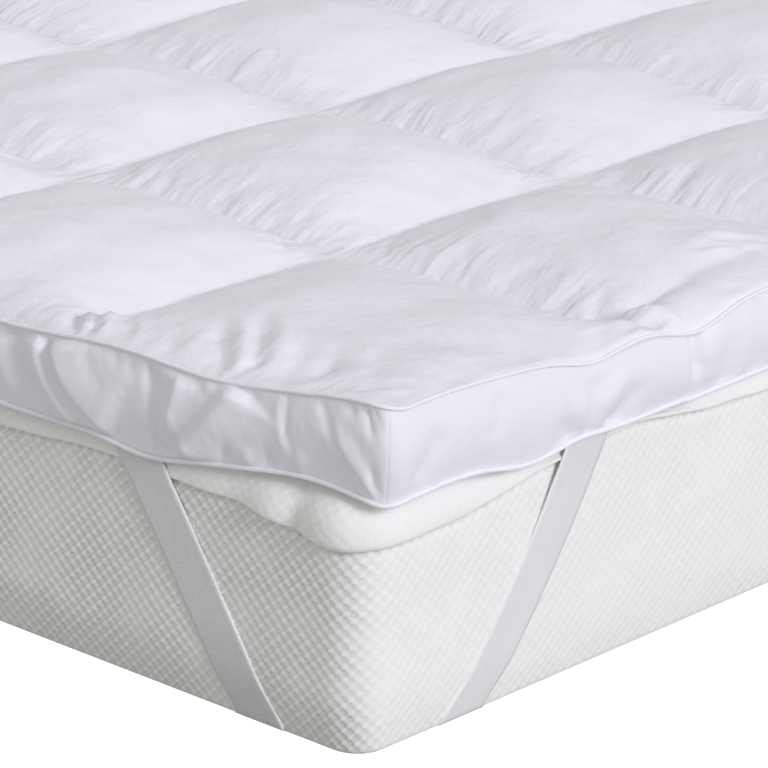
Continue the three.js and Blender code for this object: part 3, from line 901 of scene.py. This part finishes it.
def cottonFinish(name, plan, quilted):
    # close white weave, softly crinkled
    cotton = Finish(name, 0.62, 0.12, 0.35)
    x, y, z = cotton.place.axes()
    cotton.colour(cotton.place.noise(16.0, 3.0).mix(plan["light"], plan["deep"]))
    soft = (cotton.place.noise(26.0, 3.0, 0.55) - 0.5).size() * 1.4 + cotton.place.noise(38.0, 2.0) * 0.5
    crinkle = cotton.place.noise(120.0, 3.0, 0.6)
    down = cotton.attribute("down")
    onTop = 1 - down.ramp(0.0, 0.07)
    relief = cotton.relief(soft * 0.75 + crinkle * (onTop * 0.3 + 0.1), plan["crinkleDepth"], 0.9)
    if quilted:
        sway = cotton.place.noise(14.0, 1.0) * plan["sway"]
        relief = puckers(cotton, plan, onTop, sway, relief)
        relief = bandCreases(cotton, plan, onTop, sway, relief)
        sideX, endY = plan["cornerSeam"]
        corner = ((x.size() - sideX) - (y.size() - endY)).size().ramp(0.0005, 0.0022)
        relief = cotton.relief(1 - (1 - corner) * (1 - onTop), plan["cornerSeamDepth"], 1.0, relief)
    turn = 2 * math.pi / plan["weavePitch"]
    weave = (x * turn).sine() * (y * turn).sine() + (z * turn).sine() * 0.5
    cotton.relief(weave, plan["weaveDepth"], 1.0, relief)
    return cotton


def puckers(cotton, plan, onTop, sway, relief):
    # short creases that stand square to the seams across the bed, and to the ends
    x, y, z = cotton.place.axes()
    toSeam = (y - plan["seamAt"]).math("PINGPONG", y - plan["seamAt"], plan["seamAt"])
    fromMiddle = y.size()
    beside = (1 - toSeam.ramp(0.004, plan["puckerReach"])) * (1 - fromMiddle.ramp(0.74, 0.79))
    beside = beside + fromMiddle.ramp(0.88, 0.94) * 0.45
    patchy = cotton.place.noise(9.0, 1.0).ramp(0.35, 0.6)
    along, away, up = plan["puckerScale"]
    streaks = cotton.joined((x + sway) * along, (y - sway) * away, z * up).noise(1.0, 2.0, 0.5)
    height = streaks.ramp(0.3, 0.75) * beside * (patchy * 0.6 + 0.4) * onTop
    return cotton.relief(height, plan["puckerDepth"], 1.0, relief)


def bandCreases(cotton, plan, onTop, sway, relief):
    # gathers by the two seams of the band, and slanting creases down it
    x, y, z = cotton.place.axes()
    down = cotton.attribute("down")
    onSide = x.size().ramp(*plan["sideFrom"])
    bySeam = (1 - down.ramp(0.02, 0.2) + down.ramp(0.86, 1.0)) * (1 - onTop)
    gathered, leaning = [], []
    for along in (x, y):
        pleats = cotton.joined((along + sway * 0.5) * 125, z * 26)
        gathered.append(pleats.noise(1.0, 2.0, 0.5).ramp(0.35, 0.7))
        folds = cotton.joined(along * 34 + z * 12 + sway * 90, z * 10)
        leaning.append((folds.noise(1.0, 2.0, 0.55) - 0.5).size().ramp(0.0, 0.12))
    pleats = gathered[0] * (1 - onSide) + gathered[1] * onSide * 0.45
    relief = cotton.relief(pleats * bySeam, plan["gatherDepth"], 1.0, relief)
    creases = leaning[0] * (1 - onSide) + leaning[1] * onSide * 0.7
    return cotton.relief(creases * (1 - onTop), plan["creaseDepth"], 1.0, relief)


cottonWhite = cottonFinish("topperCotton", cottonPlan, True)
topper, topperShape, topperPoints = makeTopper(cottonWhite.material)
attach(topper, "root")
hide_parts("topper")
print("topper made:", len(topper.data.polygons), "faces")


pipingPlan = {
    "upperRadius": 1.5,
    "lowerRadius": 1.8,
    "standOff": -0.7,  # sunk into the seam
    "roundness": 2,
    "colours": {"light": (0.94, 0.94, 0.97), "deep": (0.90, 0.90, 0.95)},
}


def makePiping(name, shape, points, ringRow, radius, material):
    # a cord along one ring of the topper's edge, the upper seam being ring 0
    count = shape.ring
    start = shape.topCount + (ringRow - 1) * count
    line = points[start : start + count] if ringRow else points[shape.border]
    out = shape.outward(line[:, :2])
    centre = line + np.column_stack([out * (radius + pipingPlan["standOff"]), np.zeros(count)])
    bpy.ops.curve.primitive_bezier_circle_add(location=(0, 0, 0))
    cord = bpy.context.object
    cord.name = name
    cord.data.splines.clear()
    run = cord.data.splines.new("POLY")
    run.points.add(count - 1)
    run.points.foreach_set("co", np.column_stack([centre * mm, np.ones(count)]).ravel())
    run.use_cyclic_u = True
    cord.data.bevel_depth = radius * mm
    cord.data.bevel_resolution = pipingPlan["roundness"]
    cord.data.materials.append(material)
    bpy.ops.object.convert(target="MESH")
    bpy.ops.object.shade_smooth()
    cord.select_set(False)
    return cord


pipingWhite = cottonFinish("pipingCotton", {**cottonPlan, **pipingPlan["colours"]}, False)
for name, row, radius, node in (
    ("pipingUpper", 0, pipingPlan["upperRadius"], "piping_upper"),
    ("pipingLower", topperPlan["bandRows"], pipingPlan["lowerRadius"], "piping_lower"),
):
    cord = makePiping(name, topperShape, topperPoints, row, radius, pipingWhite.material)
    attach(cord, "root")
    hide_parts(node)
print("piping made")


mattressPlan = {
    "halfWidth": 672,
    "halfLength": 947,
    "height": 184,
    "cornerRadius": 30,
    "cornerSteps": 14,
    "step": 8,  # spacing of the outline's points
    "topRound": 26,
    "bottomRound": 6,
    "bottomTurns": (0, 22.5, 45, 67.5, 90),  # degrees round the bottom edge
    "topTurns": (0, 12, 24, 36, 48, 60, 72, 84, 90),  # and round the top edge
    "foot": 4,  # how far the cover tucks in towards the floor
    "footHeight": 38,
    "wallRows": (0.06, 0.14, 0.24, 0.34, 0.44, 0.54, 0.64, 0.74, 0.82, 0.89, 0.94, 0.975),
    "bulge": 1.2,
    "seamDepth": 1.6,
    "lip": 3,  # how far the roll above the cover's seam stands out
    "lipRows": ((0.1, 0.45), (0.25, 0.85), (0.5, 1.0), (0.8, 1.0)),  # share of the way up, and out
    # place from the corner, rise and reach of the roll's swellings
    "endSwell": ((88, 1.3, 22), (62, -1.9, 8), (36, 1.6, 20)),
    "sideSwell": ((40, 0.5, 40),),
    # distance from the corner and height of the cover's seam
    "endSeam": (
        (0, 147), (32, 144.5), (63, 149), (104, 157), (149, 155.5),
        (243, 159), (340, 151), (520, 156), (700, 154),
    ),
    "sideSeam": (
        (0, 147), (33, 149), (100, 150), (146, 158.5), (171, 163), (225, 169),
        (282, 172), (352, 162), (432, 159), (600, 156), (950, 157),
    ),
}


def mattressOutline(plan, inset):
    # points round the mattress from its front left corner, side by side with a round after each
    radius = plan["cornerRadius"] - inset
    x, y = plan["halfWidth"] - plan["cornerRadius"], plan["halfLength"] - plan["cornerRadius"]
    corners = [(-x, -y), (x, -y), (x, y), (-x, y)]
    outward = [(0, -1), (1, 0), (0, 1), (-1, 0)]
    places = []
    for side, (outX, outY) in enumerate(outward):
        (ax, ay), (bx, by) = corners[side], corners[(side + 1) % 4]
        steps = round(math.dist((ax, ay), (bx, by)) / plan["step"])
        for k in range(steps):
            along = ax + (bx - ax) * k / steps, ay + (by - ay) * k / steps
            places.append((along[0] + outX * radius, along[1] + outY * radius))
        for k in range(plan["cornerSteps"]):
            angle = math.pi / 2 * (side - 1 + k / plan["cornerSteps"])
            places.append((bx + radius * math.cos(angle), by + radius * math.sin(angle)))
    return np.array(places)


def coverSeam(plan, edge):
    # height of the cover's seam at each point of the outline
    toSide, toEnd = insideEdges(plan, edge[:, 0], edge[:, 1])
    end = np.interp(toSide, *zip(*plan["endSeam"]))
    side = np.interp(toEnd, *zip(*plan["sideSeam"]))
    height = np.where(toEnd < toSide, end, side)
    for _ in range(4):
        height = 0.5 * height + 0.25 * (np.roll(height, 1) + np.roll(height, -1))
    return height


def rollOut(plan, edge, around):
    # how far the roll above the seam stands out at each point of the outline
    toSide, toEnd = insideEdges(plan, edge[:, 0], edge[:, 1])
    fromCorner = np.maximum(toSide, toEnd)
    puffed = 1 + 0.45 * softNoise(around, np.zeros(len(edge)), 60, 21)
    ends, sides = humps(fromCorner, plan["endSwell"]), humps(fromCorner, plan["sideSwell"])
    puffed += np.where(toEnd < toSide, ends, sides)
    return plan["lip"] * np.clip(puffed, -0.6, 2.8)


def makeMattress(plan, material):
    # rings from the floor up the wall to the cover's seam, then over the roll to the top
    edge = mattressOutline(plan, 0)
    deepest = plan["cornerRadius"] - 1
    inner = mattressOutline(plan, deepest)
    count = len(edge)
    rings = []

    def ring(inset, z):
        share = inset / deepest * np.ones(count)
        place = edge + (inner - edge) * share[:, None]
        rings.append(np.column_stack([place, z * np.ones(count)]))

    seam, around = coverSeam(plan, edge), runAlong(edge)
    bottom, top, foot = plan["bottomRound"], plan["topRound"], plan["foot"]
    for turn in plan["bottomTurns"]:
        angle = math.radians(turn)
        ring(foot + bottom * (1 - math.sin(angle)), bottom * (1 - math.cos(angle)))
    for share in plan["wallRows"]:
        swell = math.sin(math.pi * share)
        bulge = plan["bulge"] * swell + softNoise(around, np.full(count, share * 120), 90, 4) * swell
        z = bottom + (seam - bottom) * share
        ring(foot * (1 - smoothStep(z / plan["footHeight"])) - bulge, z)
    ring(plan["seamDepth"], seam)
    seamRow = len(rings)
    lip = rollOut(plan, edge, around)
    low = seam + 0.5
    shoulder = np.maximum(plan["height"] - top, low + 3)
    for up, out in plan["lipRows"]:
        ring(-lip * out, low + (shoulder - low) * up)
    for turn in plan["topTurns"]:
        angle = math.radians(turn)
        z = plan["height"] - top * (1 - math.sin(angle))
        inset = top * (1 - math.cos(angle)) - lip * math.cos(angle) ** 0.5
        ring(inset, np.maximum(z, seam + 3.5 + 0.4 * turn / 10))
    points = np.concatenate(rings)
    faces = []
    for row in range(len(rings) - 1):
        faces += [(b, a, d, c) for a, b, c, d in ringFaces(row * count, (row + 1) * count, count)]
    piece = meshPiece("mattressCover", points, faces, material)
    last = len(points)
    closeShell(piece, [range(count - 1, -1, -1), range(last - count, last)])
    wrapCover(piece.data, np.concatenate([[0], around]) * mm)
    roll = piece.data.attributes.new("roll", "FLOAT", "POINT")
    roll.data.foreach_set("value", np.repeat([0.0] * seamRow + [1.0] * (len(rings) - seamRow), count))
    return piece


def wrapCover(mesh, run):
    # the cover's pattern runs round the walls, and lies flat on the top and the bottom
    count = len(run) - 1
    layer = mesh.uv_layers.new(name="cover")
    for face in mesh.polygons:
        wraps = any(k % count == count - 1 for k in face.vertices)
        for corner in face.loop_indices:
            place = mesh.vertices[mesh.loops[corner].vertex_index]
            k = place.index % count
            if len(face.vertices) > 4:
                layer.data[corner].uv = place.co.xy
            else:
                layer.data[corner].uv = (run[-1] if wraps and k == 0 else run[k], place.co.z)


knitPlan = {
    "light": (0.95, 0.95, 0.925),
    # the deep tone is the yarn's own darker tone, and also the painted shade of the gaps between the ovals
    # and of the ends near the floor
    "deep": (0.71, 0.715, 0.68),
    "pitchAround": 0.0102,
    "pitchDown": 0.0094,  # two rows of raised ovals
    "depth": 0.0013,
    "side": (0.655, 0.672),  # the pattern turns the corner between these
}


def knitFinish(plan):
    # staggered rows of slanting raised ovals, flatter where the cover rolls over the edge; painted shade
    # darkens the gaps between the ovals, most on the ends, and darkens the ends towards the floor
    knit = Finish("mattressKnit", 0.8, 0.1, 0.2)
    u, v = knit.unwrapped.axes()[:2]
    x, _, z = knit.place.axes()
    drift = knit.place.noise(20.0, 2.0) * 2.2
    around = u * (2 * math.pi / plan["pitchAround"])
    down = v * (2 * math.pi / plan["pitchDown"])
    lattice = (around - down + drift).sine() * 0.58 + (around + down + drift * 1.4).sine() * 0.42
    raised = lattice.ramp(-0.9, 0.95)
    uneven = knit.place.noise(26.0, 2.0).ramp(0.2, 0.65) * 0.5 + 0.5
    onSide = x.size().ramp(*plan["side"])
    reliefAndPaintedGapShade = uneven * (1 - knit.attribute("roll") * 0.8) * (1 - onSide * 0.72)
    yarn = knit.place.noise(420.0, 3.0, 0.6)
    paintedFloorShade = (1 - z.ramp(0.0, 0.05)) * (1 - onSide)  # painted shade: greyer towards the floor at the ends
    # painted shade: the gaps between the raised ovals are darkened, less on the sunlit long sides and on the
    # roll; the yarn's own tone varies too
    pale = 1 - (1 - raised) * reliefAndPaintedGapShade * 0.7 - (yarn - 0.5).size() * 0.8 - paintedFloorShade * 0.55
    knit.colour(pale.mix(plan["deep"], plan["light"]))
    soft = knit.relief(knit.place.noise(45.0, 3.0), 0.003, 0.5)
    knit.relief(raised * reliefAndPaintedGapShade + yarn * 0.16, plan["depth"], 1.0, soft)
    return knit


knitOffWhite = knitFinish(knitPlan)
mattress = makeMattress(mattressPlan, knitOffWhite.material)
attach(mattress, "root")
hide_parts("mattress")
print("mattress made:", len(mattress.data.polygons), "faces")


strapPlan = {
    "thickness": 1.2,
    "halfWidth": 22.5,  # measured level: the legs slant, and the elastic is 38 wide
    "stepsAcross": 10,
    "stepsDown": 40,
    "end": {"top": 204, "bottom": 95, "bend": 1},
    "side": {"top": 220, "bottom": 109, "bend": 1.3},
    "clear": 0.8,  # off the mattress
    "tuck": (20, 42),  # degrees round the mattress's lower edge
}


def strapRun(plan, which, seamOut, seamHeight):
    # distance outside the mattress's side, height and distance from the corner, from the seam down and under
    bed, run = mattressPlan, plan[which]
    bottom = bed["bottomRound"]
    lipOut = bed["lip"] + plan["clear"]
    stations = [
        (seamOut - 3.2, seamHeight),
        (lipOut + 0.4, bed["height"] - bed["topRound"] - 4),
        (lipOut, 150),
        (lipOut * 0.75 + 0.3, 128),
        (2.4, 100),
        (1.9, 60),
        (1.2, 20),
        (plan["clear"], bottom),
    ]
    rows = []
    for k in range(plan["stepsDown"] + 1):
        z = seamHeight + (bottom - seamHeight) * k / plan["stepsDown"]
        out = np.interp(-z, [-s[1] for s in stations], [s[0] for s in stations])
        down = (seamHeight - z) / (seamHeight - bottom)
        out -= bed["foot"] * float(1 - smoothStep(z / bed["footHeight"]))
        rows.append((out, z, run["top"] + (run["bottom"] - run["top"]) * down ** run["bend"]))
    radius = bottom + plan["clear"]
    for turn in plan["tuck"]:
        angle = math.radians(turn)
        out = radius * math.cos(angle) - bottom - bed["foot"]
        rows.append((out, bottom - radius * math.sin(angle), run["bottom"]))
    return rows


def makeStrap(name, plan, signX, signY, material):
    # down the end of the mattress, under its corner and up its side
    quilt, bed = topperPlan, mattressPlan
    halfWidth, halfLength = bed["halfWidth"], bed["halfLength"]
    endX = signX * (halfWidth - plan["end"]["top"])
    sideY = signY * (halfLength - plan["side"]["top"])
    endSeam = lowerSeam(np.array(endX), np.array(signY * float(quilt["halfLength"])))
    sideSeam = lowerSeam(np.array(signX * float(quilt["halfWidth"])), np.array(sideY))
    endTop, sideTop = (quilt["baseHeight"] + float(seam) - 0.5 for seam in (endSeam, sideSeam))
    endOut, sideOut = (quilt[half] - quilt["baseInset"] - bed[half] for half in ("halfLength", "halfWidth"))
    across = np.linspace(-1, 1, plan["stepsAcross"] + 1)
    rows = []
    for out, z, fromCorner in strapRun(plan, "end", endOut, endTop):
        place = fromCorner + plan["halfWidth"] * across
        rows.append([(signX * (halfWidth - p), signY * (halfLength + out), z) for p in place])
    for out, z, fromCorner in reversed(strapRun(plan, "side", sideOut, sideTop)):
        place = fromCorner + plan["halfWidth"] * across
        rows.append([(signX * (halfWidth + out), signY * (halfLength - p), z) for p in place])
    rows = np.array(rows)
    count, wide = rows.shape[:2]
    faces = gridFaces(np.arange(count * wide).reshape(count, wide))
    piece = meshPiece(name, rows.reshape(-1, 3), faces, material)
    layer = piece.data.uv_layers.new(name="strap")
    steps = np.linalg.norm(np.diff(rows[:, wide // 2], axis=0), axis=1)
    run = np.concatenate([[0], np.cumsum(steps)]) * mm
    for loop in piece.data.loops:
        r, c = divmod(loop.vertex_index, wide)
        layer.data[loop.index].uv = (across[c] * plan["halfWidth"] * mm, run[r])
    onEnd = piece.data.polygons[12 * (wide - 1)]  # a face part of the way down the end
    if onEnd.normal.y * signY < 0:
        piece.data.flip_normals()
    thick = piece.modifiers.new("thickness", "SOLIDIFY")
    thick.thickness = plan["thickness"] * mm
    thick.offset = -1
    thick.use_even_offset = True
    applyModifier(piece, "thickness")
    return piece, float(run[-1])


elasticPlan = {
    "band": (0.85, 0.84, 0.85),
    "streakAndPaintedShadeTone": (0.56, 0.56, 0.565),
    "selvedge": (0.95, 0.95, 0.92),
    "selvedgeFrom": (0.0202, 0.0212),
    "ribPitch": 0.0016,
    "rowPitch": 0.0022,
    "depth": 0.0003,
}


def elasticFinish(plan):
    # ribbed grey elastic with pale edges; painted shade darkens it on the ends of the mattress, and more so
    # low down towards the floor
    elastic = Finish("strapElastic", 0.65, 0.1, 0.25)
    u, v = elastic.unwrapped.axes()[:2]
    x, _, z = elastic.place.axes()
    edge = u.size().ramp(*plan["selvedgeFrom"])
    ribs = (u * (2 * math.pi / plan["ribPitch"])).sine()
    rows = (v * (2 * math.pi / plan["rowPitch"])).sine()
    streaks = elastic.joined(u * 260, v * 9).noise(1.0, 2.0)
    onEnd = 1 - x.size().ramp(*knitPlan["side"])
    # painted shade: the straps on the ends are darker than those on the sunlit sides, and darker still
    # towards the floor; the streaks are the elastic's own uneven tone
    low = (1 - z.ramp(0.0, 0.09)) * onEnd
    streaksAndPaintedShade = streaks.ramp(0.3, 0.8) * 0.12 + onEnd * 0.2 + low * 0.58
    band = streaksAndPaintedShade.mix(plan["band"], plan["streakAndPaintedShadeTone"])
    elastic.colour(edge.mix(band, plan["selvedge"]))
    elastic.relief(ribs * 0.5 + rows * 0.3 + edge * 1.5, plan["depth"], 0.6)
    return elastic


elasticGrey = elasticFinish(elasticPlan)
for signX, signY in ((1, -1), (1, 1), (-1, 1), (-1, -1)):
    where = ("Front" if signY < 0 else "Back") + ("Right" if signX > 0 else "Left")
    strap, length = makeStrap("strap" + where, strapPlan, signX, signY, elasticGrey.material)
    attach(strap, "root")
    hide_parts("strap_" + ("front" if signY < 0 else "back") + ("_right" if signX > 0 else "_left"))
print("straps made")
